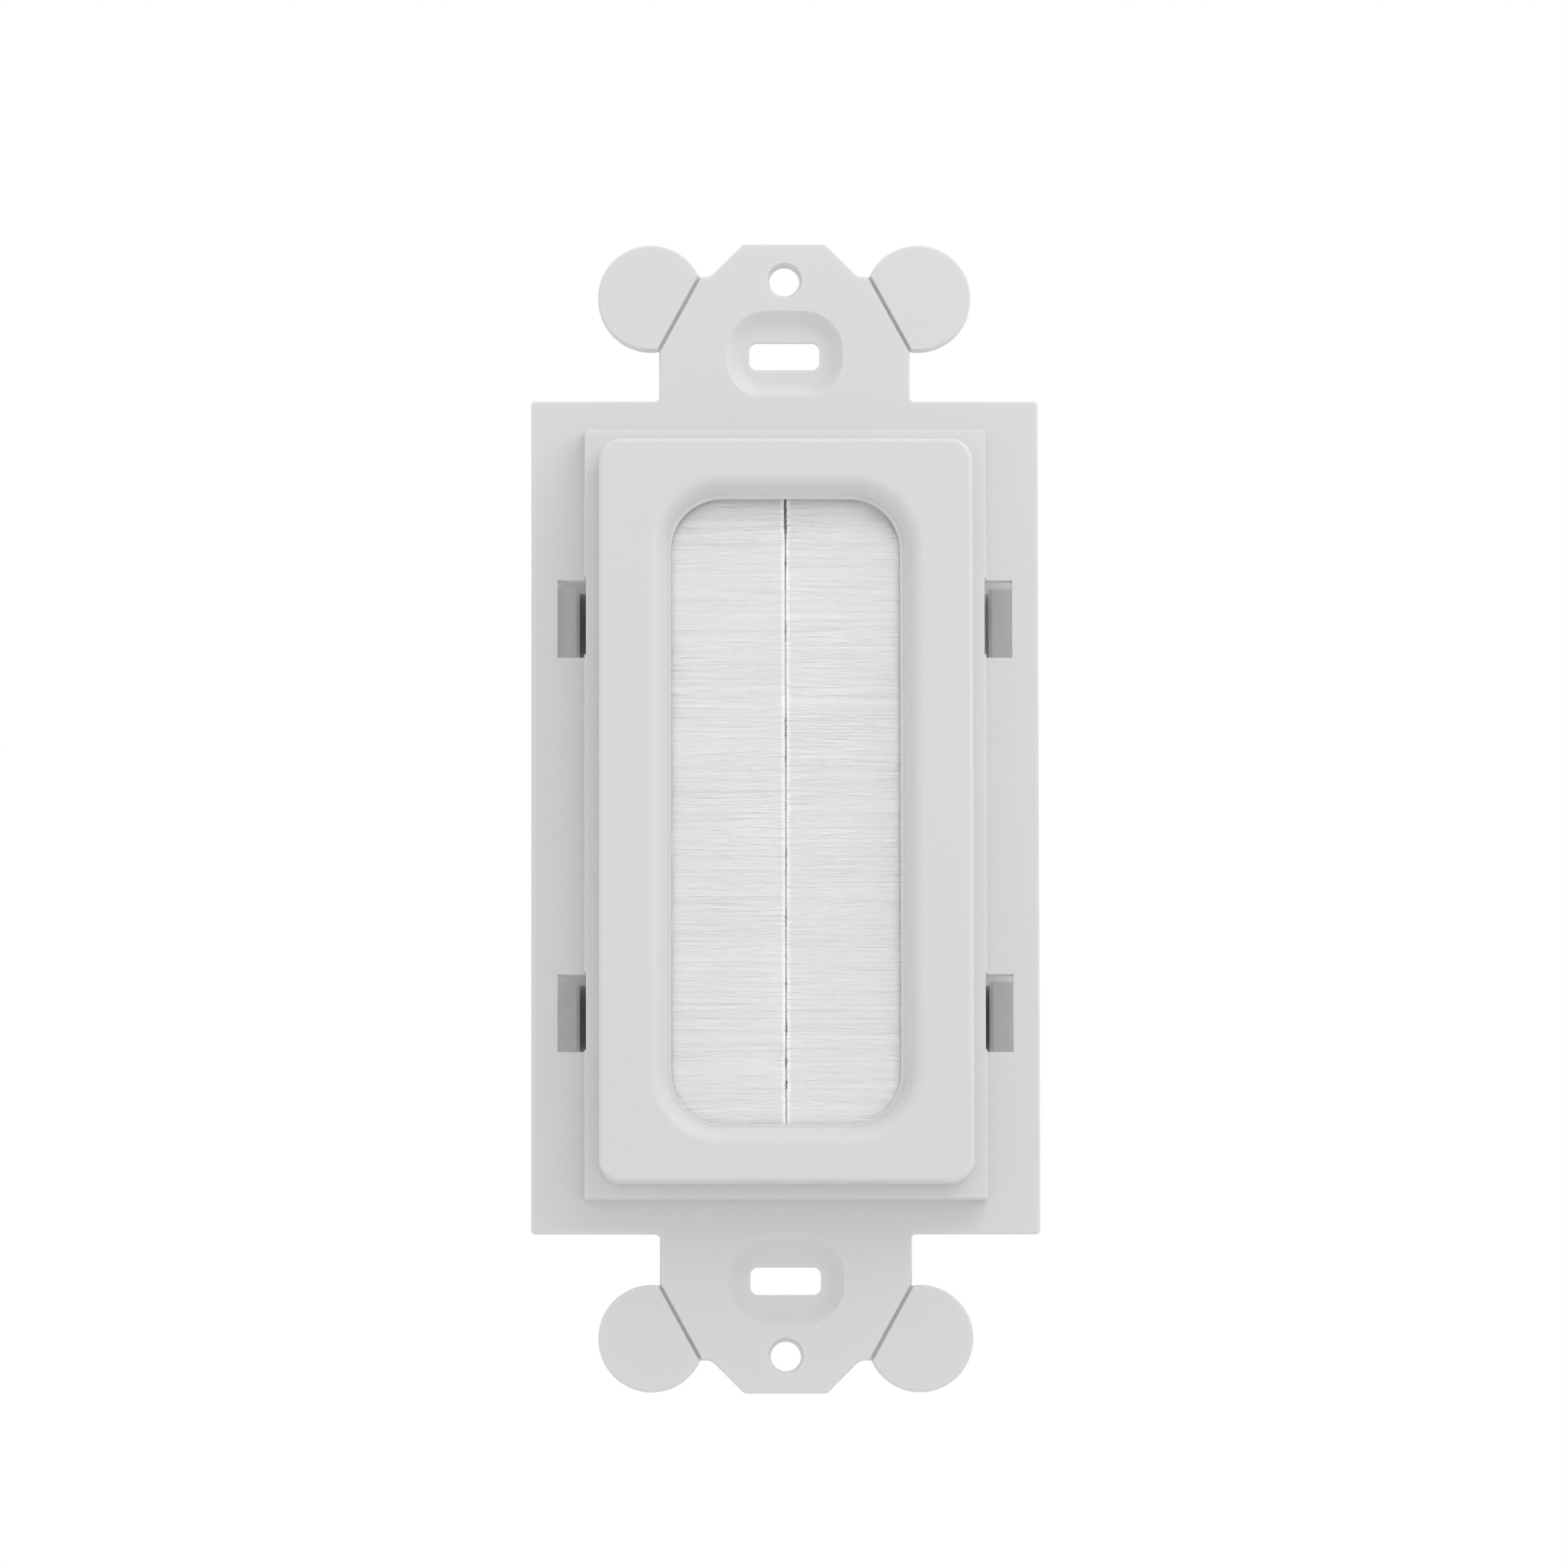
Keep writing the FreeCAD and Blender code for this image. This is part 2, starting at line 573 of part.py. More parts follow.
# Snap arms with barbs that hook in front of the lugs
arm_foot = "sizes.skirt_depth + sizes.flange_thickness / 2"
arm_profile = [
    (ARM_INNER, arm_foot),
    (ARM_INNER, BARB_CATCH),
    (BARB_TIP, BARB_CATCH),
    (BARB_TIP, f"{ARM_NOSE} + sizes.barb_lead_in"),
    (f"({BARB_TIP} + sizes.barb_lead_in)", ARM_NOSE),
    (ARM_OUTER, ARM_NOSE),
    (ARM_OUTER, arm_foot),
]
arm_width = "sizes.clip_slot_height - 2 * sizes.arm_inset"
for name, end in ENDS.items():
    draw_clip_profiles(rear_retainer, f"{name}_arms", end, arm_profile, arm_width)
round_edges(rear_retainer, "arm_roots", "sizes.arm_root_radius", arm_root_edges)


def build_channel(side, hand):
    """Make the folded strip whose crimped mouth grips the filaments."""
    body = new_body(f"{side}_channel")
    sketch = new_sketch(body, f"{side}_channel_section", "XY_Plane")
    half = "sizes.channel_thickness / 2"
    bend = f"({CHANNEL_MOUTH} + sizes.crimp_length)"
    upper = [
        (CHANNEL_BACK, half),
        (bend, half),
        (CHANNEL_MOUTH, f"{half} - sizes.crimp_depth"),
        (CHANNEL_MOUTH, f"{half} - sizes.crimp_depth - sizes.channel_sheet"),
        (bend, f"{half} - sizes.channel_sheet"),
        (f"({CHANNEL_BACK} - sizes.channel_sheet)", f"{half} - sizes.channel_sheet"),
    ]
    draw_polygon(sketch, mirrored_section(upper, hand))
    pad(sketch, f"2 * {CHANNEL_HALF}", symmetric=True)


def build_core_wire(side, hand):
    """Make the wire that the filaments are folded over."""
    body = new_body(f"{side}_core_wire")
    sketch = new_sketch(body, f"{side}_core_wire_section", "XY_Plane")
    draw_circle(sketch, f"{hand} * {CORE_PLACE}", f"-1 * {BRUSH_PLANE}", "sizes.core_wire / 2")
    pad(sketch, f"{BRUSH_LENGTH} - 2 * sizes.core_wire_setback", symmetric=True)


def build_bristles(side, hand):
    """Make a pack of filaments: its root in the channel, and tufts that reach the middle."""
    body = new_body(f"{side}_bristles")
    sketch = new_sketch(body, f"{side}_root_section", "XY_Plane")
    inner = "(sizes.channel_thickness / 2 - sizes.channel_sheet)"
    upper = [
        (f"({CHANNEL_BACK} - sizes.channel_sheet)", inner),
        (f"({CHANNEL_MOUTH} + sizes.crimp_length)", inner),
        (CHANNEL_MOUTH, f"{inner} - sizes.crimp_depth"),
        (f"({CHANNEL_MOUTH} - sizes.root_tongue)", f"{inner} - sizes.crimp_depth"),
    ]
    draw_polygon(sketch, mirrored_section(upper, hand))
    bore = "sizes.core_wire / 2 + sizes.core_clearance"
    draw_circle(sketch, f"{hand} * {CORE_PLACE}", f"-1 * {BRUSH_PLANE}", bore)
    pad(sketch, BRUSH_LENGTH, symmetric=True)

    long_first = hand < 0
    first, second = ("long", "short") if long_first else ("short", "long")
    tips = {"long": "sizes.tip_gap", "short": "(sizes.tip_gap + sizes.tip_unevenness)"}
    crest = "sizes.bristle_thickness / 2"
    valley = f"({crest} - sizes.tuft_ridge)"
    tufts = ((first, 0, f"ceil({TUFT_COUNT} / 2)"), (second, 1, f"floor({TUFT_COUNT} / 2)"))
    for name, place, count in tufts:
        level = f"({place} + 0.5) * {TUFT_STEP} - {BRUSH_LENGTH} / 2"
        low, high = f"{level} - {TUFT_STEP} / 2", f"{level} + {TUFT_STEP} / 2"
        sketch = new_sketch(body, f"{side}_{name}_tuft", "YZ_Plane", f"{hand} * {TUFT_ROOT}")
        ridge = [(valley, low), (crest, level), (valley, high)]
        outline = [(f"{rise} - {BRUSH_PLANE}", up) for rise, up in ridge]
        outline += [(f"-1 * {rise} - {BRUSH_PLANE}", up) for rise, up in reversed(ridge)]
        draw_polygon(sketch, outline)
        tuft = pad(sketch, f"{TUFT_ROOT} - {tips[name]}", reverse=hand > 0)
        row = body.newObject("PartDesign::LinearPattern", f"{side}_{name}_tufts")
        row.Originals = [tuft]
        row.Direction = (origin_feature(body, "Z_Axis"), [""])
        row.Mode = "Spacing"
        row.setExpression("Offset", f"2 * {TUFT_STEP}")
        row.setExpression("Occurrences", count)
        body.Tip = row


for side, hand in SIDES.items():
    build_channel(side, hand)
    build_core_wire(side, hand)
    build_bristles(side, hand)

doc.recompute()
bodies = [item for item in doc.Objects if item.TypeId == "PartDesign::Body"]
faults = [item.Name for item in doc.Objects if {"Invalid", "Error"} & set(item.State)]
faults += [body.Label for body in bodies if body.Shape.isNull() or not body.Shape.isValid()]
faults += [body.Label for body in bodies if len(body.Shape.Solids) != 1]
if faults:
    raise RuntimeError(f"these objects failed: {faults}")

os.makedirs("parts", exist_ok=True)
for body in bodies:
    body.Shape.exportStep(f"parts/{body.Label}.step")
    print(f"{body.Label}: {body.Shape.Volume:.1f} cubic millimetres")
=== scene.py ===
"""Brush wall plate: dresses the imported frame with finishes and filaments, and lights it.

The frame is the CAD model's, in metres: X to the right, Z up, and the front looks along -Y.
"""

import logging
import math
from dataclasses import dataclass, field
from enum import Enum
from typing import Any

import bmesh
import bpy
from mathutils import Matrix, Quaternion, Vector


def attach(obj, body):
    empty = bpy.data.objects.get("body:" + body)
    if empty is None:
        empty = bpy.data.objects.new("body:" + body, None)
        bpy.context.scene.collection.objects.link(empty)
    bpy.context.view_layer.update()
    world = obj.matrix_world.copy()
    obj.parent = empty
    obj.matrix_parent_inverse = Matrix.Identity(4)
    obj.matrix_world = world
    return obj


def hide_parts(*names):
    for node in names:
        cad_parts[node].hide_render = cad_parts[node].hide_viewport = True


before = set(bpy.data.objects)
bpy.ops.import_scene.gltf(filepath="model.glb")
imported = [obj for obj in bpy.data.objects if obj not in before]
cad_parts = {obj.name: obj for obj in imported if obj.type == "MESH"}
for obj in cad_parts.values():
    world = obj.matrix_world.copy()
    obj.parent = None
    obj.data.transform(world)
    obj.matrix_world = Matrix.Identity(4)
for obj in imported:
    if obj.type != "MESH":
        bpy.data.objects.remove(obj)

LOG = logging.getLogger("brush_wall_plate")
MM = 0.001
GOLDEN_SHARE = 0.6180339887
Colour = tuple[float, float, float]
Material = bpy.types.Material
Socket = bpy.types.NodeSocket


class Side(Enum):
    """The two brush strips, by the sign of their X."""

    LEFT = -1
    RIGHT = 1

    @property
    def label(self) -> str:
        """The side's word in the names of nodes and pieces."""
        return self.name.lower()


class Group(Enum):
    """The shader node groups that several materials share."""

    GRAIN = "moulded_grain"
    STREAKS = "drawn_streaks"


class Draw(Enum):
    """A strip's random draws, by the number that each adds to the strip's seed."""

    PLACE = 1
    TONE = 2
    STRAY = 3
    LENGTH = 4


@dataclass
class NodeBuilder:
    """Adds nodes to a tree and links them, so that each finish reads as a short list."""

    tree: bpy.types.NodeTree

    def add(self, kind: str, inputs: dict[str | int, Any] | None = None, **settings: Any) -> Any:
        """Add a node.

        Args:
            kind: The node's type name.
            inputs: Its inputs by name or number; a socket is linked, and any other value is set.
            **settings: The node's own properties, which are set before its inputs.

        Returns:
            The new node.
        """
        node = self.tree.nodes.new(kind)
        for name, setting in settings.items():
            setattr(node, name, setting)
        for key, given in (inputs or {}).items():
            target = node.inputs[key]
            if isinstance(given, Socket):
                self.tree.links.new(given, target)
            else:
                target.default_value = given
        return node

    def feed(self, node: Any, sockets: dict[str, Socket]) -> None:
        """Link sockets to a node's inputs by name."""
        for name, given in sockets.items():
            self.tree.links.new(given, node.inputs[name])

    def math(self, operation: str, *terms: Any) -> Socket:
        """Add a Math node on up to three numbers or sockets and return its result."""
        inputs = dict(enumerate(terms))
        return self.add("ShaderNodeMath", inputs, operation=operation).outputs[0]

    def span(self, given: Any, low: float, high: float, start: Any = 0.0, end: Any = 1.0) -> Socket:
        """Map a number from one range to another, without going past its ends."""
        inputs = {"Value": given, "From Min": low, "From Max": high, "To Min": start, "To Max": end}
        return self.add("ShaderNodeMapRange", inputs).outputs["Result"]

    def tint(self, colour: Any, shade: Socket) -> Socket:
        """Multiply a colour by a number and return the result."""
        inputs = {0: colour, "Scale": shade}
        return self.add("ShaderNodeVectorMath", inputs, operation="SCALE").outputs[0]


def new_group(kind: str, name: str, sockets: list[tuple[str, str, str]]) -> tuple[Any, Any, Any]:
    """Start a node group with named sockets.

    Args:
        kind: The tree's type name.
        name: The group's name.
        sockets: For each socket its name, INPUT or OUTPUT, and its type name.

    Returns:
        The builder, the input node and the output node.
    """
    tree = bpy.data.node_groups.new(name, kind)
    for label, direction, socket_type in sockets:
        tree.interface.new_socket(label, in_out=direction, socket_type=socket_type)
    build = NodeBuilder(tree)
    return build, build.add("NodeGroupInput"), build.add("NodeGroupOutput")


@dataclass(frozen=True)
class MouldedGrain:
    """The surface that a fine spark-eroded mould leaves: a slight mottle and a shallow grain."""

    cloud_scale: float = 45.0
    cloud_detail: float = 3.0
    grain_detail: float = 2.0
    grain_share: float = 0.5
    roughness_drift: float = 0.12
    strength: float = 0.35

    def build(self) -> None:
        """Build the shader node group that both moulded plastics share."""
        number, vector, colour = "NodeSocketFloat", "NodeSocketVector", "NodeSocketColor"
        build, source, result = new_group("ShaderNodeTree", Group.GRAIN.value, [
            ("Place", "INPUT", vector),
            ("Colour", "INPUT", colour),
            ("Mottle", "INPUT", number),
            ("Grain Size", "INPUT", number),
            ("Grain Depth", "INPUT", number),
            ("Roughness", "INPUT", number),
            ("Colour", "OUTPUT", colour),
            ("Roughness", "OUTPUT", number),
            ("Normal", "OUTPUT", vector),
        ])
        given = source.outputs
        clouds = build.add("ShaderNodeTexNoise", {
            "Vector": given["Place"], "Scale": self.cloud_scale, "Detail": self.cloud_detail,
        })
        scale = build.math("DIVIDE", 1.0, given["Grain Size"])
        grain = build.add("ShaderNodeTexNoise", {
            "Vector": given["Place"], "Scale": scale, "Detail": self.grain_detail,
        })
        drift = build.math("SUBTRACT", clouds.outputs["Fac"], 0.5)
        centred = build.math("SUBTRACT", grain.outputs["Fac"], 0.5)
        fine = build.math("MULTIPLY", centred, self.grain_share)
        change = build.math("MULTIPLY", build.math("ADD", drift, fine), given["Mottle"])
        rough_change = build.math("MULTIPLY", drift, self.roughness_drift)
        bump = build.add("ShaderNodeBump", {
            "Strength": self.strength,
            "Distance": given["Grain Depth"],
            "Height": grain.outputs["Fac"],
        })
        build.feed(result, {
            "Colour": build.tint(given["Colour"], build.math("ADD", 1.0, change)),
            "Roughness": build.math("ADD", given["Roughness"], rough_change),
            "Normal": bump.outputs["Normal"],
        })


@dataclass(frozen=True)
class DrawnStreaks:
    """The fine lengthwise lines of rolled sheet and drawn wire, along Z."""

    scale: tuple[float, float, float] = (9000.0, 9000.0, 160.0)
    detail: float = 4.0
    roughness_drift: float = 0.25
    strength: float = 0.4

    def build(self) -> None:
        """Build the shader node group that both metals share."""
        number, vector, colour = "NodeSocketFloat", "NodeSocketVector", "NodeSocketColor"
        build, source, result = new_group("ShaderNodeTree", Group.STREAKS.value, [
            ("Place", "INPUT", vector),
            ("Colour", "INPUT", colour),
            ("Contrast", "INPUT", number),
            ("Roughness", "INPUT", number),
            ("Depth", "INPUT", number),
            ("Colour", "OUTPUT", colour),
            ("Roughness", "OUTPUT", number),
            ("Normal", "OUTPUT", vector),
        ])
        given = source.outputs
        drawn = build.add("ShaderNodeMapping", {"Vector": given["Place"], "Scale": self.scale})
        lines = build.add("ShaderNodeTexNoise", {
            "Vector": drawn.outputs["Vector"], "Scale": 1.0, "Detail": self.detail,
        })
        centred = build.math("SUBTRACT", lines.outputs["Fac"], 0.5)
        change = build.math("MULTIPLY", centred, given["Contrast"])
        rough_change = build.math("MULTIPLY", centred, self.roughness_drift)
        bump = build.add("ShaderNodeBump", {
            "Strength": self.strength,
            "Distance": given["Depth"],
            "Height": lines.outputs["Fac"],
        })
        build.feed(result, {
            "Colour": build.tint(given["Colour"], build.math("ADD", 1.0, change)),
            "Roughness": build.math("ADD", given["Roughness"], rough_change),
            "Normal": bump.outputs["Normal"],
        })


def start_material(name: str, constants: dict[str, Any]) -> tuple[Material, NodeBuilder, Any]:
    """Start a material with a Principled shader.

    Args:
        name: The material's name.
        constants: Values that are the same all over the surface, by the shader's socket.

    Returns:
        The material, its node builder and the shader node.
    """
    material = bpy.data.materials.new(name)
    material.use_nodes = True
    material.node_tree.nodes.clear()
    build = NodeBuilder(material.node_tree)
    shader = build.add("ShaderNodeBsdfPrincipled", constants)
    build.add("ShaderNodeOutputMaterial", {"Surface": shader.outputs["BSDF"]})
    return material, build, shader


def link_group(build: NodeBuilder, shader: Any, group: Group, inputs: dict[str, Any]) -> None:
    """Place a shared group in a material, on Object coordinates, and feed the shader from it.

    Args:
        build: The material's node builder.
        shader: The material's shader node.
        group: The shared group.
        inputs: The finish's own values for the group's inputs.
    """
    node = build.add("ShaderNodeGroup", node_tree=bpy.data.node_groups[group.value])
    build.feed(node, {"Place": build.add("ShaderNodeTexCoord").outputs["Object"]})
    for name, given in inputs.items():
        node.inputs[name].default_value = given
    build.feed(shader, {
        "Base Color": node.outputs["Colour"],
        "Roughness": node.outputs["Roughness"],
        "Normal": node.outputs["Normal"],
    })


@dataclass(frozen=True)
class MouldedPlastic:
    """White injection-moulded plastic with a fine satin grain, which lets a little light in."""

    name: str
    colour: Colour
    mottle: float = 0.03
    grain_size: float = 0.16 * MM
    grain_depth: float = 0.012 * MM
    roughness: float = 0.48
    specular: float = 0.35
    ior: float = 1.49
    softness: float = 0.25
    glow: float = 0.7 * MM

    def material(self) -> Material:
        """Build the plastic's material.

        Returns:
            The material, with the shared grain.
        """
        material, build, shader = start_material(self.name, {
            "Specular IOR Level": self.specular,
            "IOR": self.ior,
            "Subsurface Weight": self.softness,
            "Subsurface Radius": (1.0, 1.0, 1.0),
            "Subsurface Scale": self.glow,
        })
        link_group(build, shader, Group.GRAIN, {
            "Colour": (*self.colour, 1.0),
            "Mottle": self.mottle,
            "Grain Size": self.grain_size,
            "Grain Depth": self.grain_depth,
            "Roughness": self.roughness,
        })
        return material


@dataclass(frozen=True)
class DrawnMetal:
    """Bare metal with the lines of its rolling or drawing."""

    name: str
    colour: Colour
    roughness: float
    contrast: float = 0.25
    depth: float = 0.004 * MM

    def material(self) -> Material:
        """Build the metal's material.

        Returns:
            The material, with the shared streaks.
        """
        material, build, shader = start_material(self.name, {"Metallic": 1.0})
        link_group(build, shader, Group.STREAKS, {
            "Colour": (*self.colour, 1.0),
            "Contrast": self.contrast,
            "Roughness": self.roughness,
            "Depth": self.depth,
        })
        return material


@dataclass(frozen=True)
class NylonFilament:
    """Clear-white nylon filaments, a little uneven in tone, with a painted highlight that whitens
    their cut tips.
    """

    name: str
    body: Colour
    # The tip colour is a painted highlight, paler than the nylon, standing in for light caught by
    # the cut tips.
    tip: Colour
    unevenness: float = 0.08
    roughness: float = 0.5
    roughness_drift: float = 0.06
    # The stretch near each tip that gets the painted highlight.
    tip_span: tuple[float, float] = (0.968, 0.99)
    specular: float = 0.3
    ior: float = 1.53
    softness: float = 0.35
    glow: float = 1.0 * MM

    def material(self) -> Material:
        """Build the filaments' material.

        Returns:
            The material, which reads the two attributes that the strips carry: "along" runs from
            0 at a filament's root to 1 at its tip, and "tone" says how pale the filament is.
        """
        material, build, shader = start_material(self.name, {
            "Specular IOR Level": self.specular,
            "IOR": self.ior,
            "Subsurface Weight": self.softness,
            "Subsurface Radius": (1.0, 1.0, 1.0),
            "Subsurface Scale": self.glow,
        })
        shader.subsurface_method = "BURLEY"
        along = build.add("ShaderNodeAttribute", attribute_name="along").outputs["Fac"]
        tone = build.add("ShaderNodeAttribute", attribute_name="tone").outputs["Fac"]
        # This mix paints a highlight: the last stretch of each filament turns to the paler tip
        # colour.
        # Inputs 6 and 7 and output 2 are the Mix node's colours.
        mixed = build.add("ShaderNodeMix", {
            "Factor": build.span(along, *self.tip_span),
            6: (*self.body, 1.0),
            7: (*self.tip, 1.0),
        }, data_type="RGBA").outputs[2]
        shade = self._around(build, tone, 1.0, self.unevenness)
        build.feed(shader, {
            "Base Color": build.tint(mixed, shade),
            "Roughness": self._around(build, tone, self.roughness, self.roughness_drift),
        })
        return material

    def _around(self, build: NodeBuilder, tone: Socket, middle: float, drift: float) -> Socket:
        """Let a value vary by a drift on both sides of its middle, with the filament's tone."""
        return build.span(tone, 0.0, 1.0, middle - drift, middle + drift)


@dataclass
class MouldedPart:
    """A moulding whose CAD mesh is kept, merged and shaded smooth between its real edges."""

    node: str
    slot: str
    finish: MouldedPlastic
    merge_distance: float = 1e-7
    flat_angle: float = math.radians(0.3)
    edge_angle: float = math.radians(28)

    def build(self) -> bpy.types.Object:
        """Make the smooth copy that stands for the CAD node.

        Returns:
            The finished piece.
        """
        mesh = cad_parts[self.node].data.copy()
        mesh.name = f"{self.node}_moulding"
        self._merge(mesh)
        mesh.materials.clear()
        mesh.materials.append(self.finish.material())
        mesh.shade_smooth()
        mesh.set_sharp_from_angle(angle=self.edge_angle)
        piece = bpy.data.objects.new(mesh.name, mesh)
        bpy.context.collection.objects.link(piece)
        weighting = piece.modifiers.new("face_weighting", "WEIGHTED_NORMAL")
        weighting.keep_sharp = True
        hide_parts(self.node)
        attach(piece, "root")
        LOG.info("%s: %d faces", piece.name, len(mesh.polygons))
        return piece

    def _merge(self, mesh: bpy.types.Mesh) -> None:
        """Join the mesh's loose triangles, and turn those of one flat face into one face.

        Args:
            mesh: The mesh, which is changed.
        """
        merged = bmesh.new()
        merged.from_mesh(mesh)
        bmesh.ops.remove_doubles(merged, verts=merged.verts, dist=self.merge_distance)
        bmesh.ops.dissolve_limit(
            merged, angle_limit=self.flat_angle, verts=merged.verts, edges=merged.edges,
        )
        merged.to_mesh(mesh)
        merged.free()


@dataclass
class BrushStrip:
    """One pack of filaments, from inside its channel to the middle of the opening.

    "Across" is a distance from the middle of the opening, and a level runs from -1 at the foot
    of the strip to 1 at its head.
    """

    side: Side
    finish: NylonFilament

    # The pack and its single filaments
    count: int = 4450
    seed: int = 31
    brush_plane: float = -4.55 * MM
    half_height: float = 31.25 * MM
    half_thickness: float = 1.435 * MM
    filament_radius: float = 0.052 * MM
    sides: int = 4
    joints: int = 6
    root_crowding: float = 1.5
    root_jitter: float = 0.15 * MM
    inner_share: float = 0.25

    # The way from the root through the channel's mouth to the tip
    root_across: float = 12.0 * MM
    mouth_across: float = 11.4 * MM
    full_across: float = 10.95 * MM
    tip_across: float = 0.019 * MM
    throat: float = 0.2
    lean_power: float = 1.35

    # How tips stray from their roots' height, and tones vary, singly and with their clump
    clump_scale: float = 330.0
    clump_shift: float = 0.11
    clump_drift: float = 0.25 * MM
    stray: float = 6.0 * MM
    droop_start: float = 0.80
    droop_power: float = 1.5
    end_droop: dict[Side, float] = field(
        default_factory=lambda: {Side.LEFT: 0.7 * MM, Side.RIGHT: 1.9 * MM}
    )
    tone_scale: float = 1400.0
    clump_tone: float = 0.6
    own_tone: float = 0.4

    # Lengths: front filaments are uneven, and rear ones even and a little longer
    tip_scatter: float = 0.1 * MM
    front_span: tuple[float, float] = (-0.3 * MM, -1.0 * MM)
    rear_span: tuple[float, float] = (-0.4 * MM, 0.9 * MM)
    rear_reach: float = 0.014 * MM
    rear_evenness: float = 0.8

    # The seam's parting near the top, its notches, and the thinner pack behind the parting
    parting: float = 0.075 * MM
    parting_span: tuple[float, float] = (0.78, 0.83)
    notch: float = 0.06 * MM
    notch_scale: float = 30.0
    notch_span: tuple[float, float] = (0.55, 0.62)
    thin_share: float = 0.42
    thin_span: tuple[float, float] = (0.775, 0.86)

    # The dense core, which no light passes, and its fold inside the channel
    core_across: tuple[float, float] = (0.019 * MM, 10.85 * MM)
    core_half_thickness: float = 1.38 * MM
    core_height: float = 1.99
    core_rows: int = 65
    core_groove: float = 0.01 * MM
    core_parting: float = 3.0
    core_tip_zone: float = 1.0 * MM
    core_tone: float = 0.5
    fold_across: tuple[float, float] = (11.7 * MM, 13.1 * MM)
    fold_half_thickness: float = 0.6 * MM

    @property
    def length(self) -> float:
        """A filament's full length, from its root to its tip."""
        return self.root_across - self.tip_across

    def build_tree(self) -> bpy.types.NodeTree:
        """Build the Geometry Nodes tree that lays the filaments out.

        Returns:
            The tree, with named inputs for its sizes and a seed.
        """
        number, whole = "NodeSocketFloat", "NodeSocketInt"
        build, source, result = new_group("GeometryNodeTree", f"{self.side.label}_brush", [
            ("Geometry", "INPUT", "NodeSocketGeometry"),
            ("Count", "INPUT", whole),
            ("Hand", "INPUT", number),
            ("Root Across", "INPUT", number),
            ("Length", "INPUT", number),
            ("Radius", "INPUT", number),
            ("Half Height", "INPUT", number),
            ("Half Thickness", "INPUT", number),
            ("Tip Scatter", "INPUT", number),
            ("Rear Reach", "INPUT", number),
            ("Clump Drift", "INPUT", number),
            ("End Droop", "INPUT", number),
            ("Seed", "INPUT", whole),
            ("Material", "INPUT", "NodeSocketMaterial"),
            ("Geometry", "OUTPUT", "NodeSocketGeometry"),
        ])
        given = source.outputs
        placed = build.add("GeometryNodeInstanceOnPoints", {
            "Points": self._lay_roots(build, given),
            "Instance": self._draw_filament(build, given),
            "Scale": self._scale_lengths(build, given),
        })
        real = build.add("GeometryNodeRealizeInstances", {0: placed.outputs[0]})
        combed = self._comb(build, given, real.outputs[0])
        joined = self._join(build, self._draw_core(build, given), combed)
        dressed = build.add("GeometryNodeSetMaterial", {
            "Geometry": joined, "Material": given["Material"],
        })
        build.feed(result, {"Geometry": dressed.outputs[0]})
        return build.tree

    def _random(self, build: NodeBuilder, given: Any, draw: Draw) -> Socket:
        """Draw an even random number from 0 to 1 for each filament.

        Args:
            build: The tree's node builder.
            given: The tree's inputs.
            draw: Which of the strip's draws it is.

        Returns:
            The number.
        """
        node = build.add("FunctionNodeRandomValue", data_type="FLOAT")
        build.feed(node, {
            "ID": build.add("GeometryNodeInputIndex").outputs[0],
            "Seed": build.math("ADD", given["Seed"], float(draw.value)),
        })
        return node.outputs[1]

    def _clumps(self, build: NodeBuilder, place: Socket, scale: float, detail: float) -> Socket:
        """Draw a smooth random number that changes slowly along the strip."""
        inputs = {"W": place, "Scale": scale, "Detail": detail}
        return build.add("ShaderNodeTexNoise", inputs, noise_dimensions="1D").outputs["Fac"]

    def _store(self, build: NodeBuilder, geometry: Socket, name: str, value: Any) -> Socket:
        """Keep a number on every point of a geometry under a name."""
        inputs = {"Geometry": geometry, "Name": name, "Value": value}
        settings = {"data_type": "FLOAT", "domain": "POINT"}
        return build.add("GeometryNodeStoreNamedAttribute", inputs, **settings).outputs[0]

    def _recall(self, build: NodeBuilder, name: str) -> Socket:
        """Read back a number that was stored under a name."""
        node = build.add("GeometryNodeInputNamedAttribute", {"Name": name}, data_type="FLOAT")
        return node.outputs["Attribute"]

    def _move(self, build: NodeBuilder, geometry: Socket, shifts: dict[str, Socket]) -> Socket:
        """Move every point of a geometry by its own shifts along the named axes."""
        offset = build.add("ShaderNodeCombineXYZ", shifts).outputs[0]
        inputs = {"Geometry": geometry, "Offset": offset}
        return build.add("GeometryNodeSetPosition", inputs).outputs[0]

    def _join(self, build: NodeBuilder, one: Socket, other: Socket) -> Socket:
        """Join two geometries."""
        node = build.add("GeometryNodeJoinGeometry", {0: one})
        build.tree.links.new(other, node.inputs[0])
        return node.outputs[0]

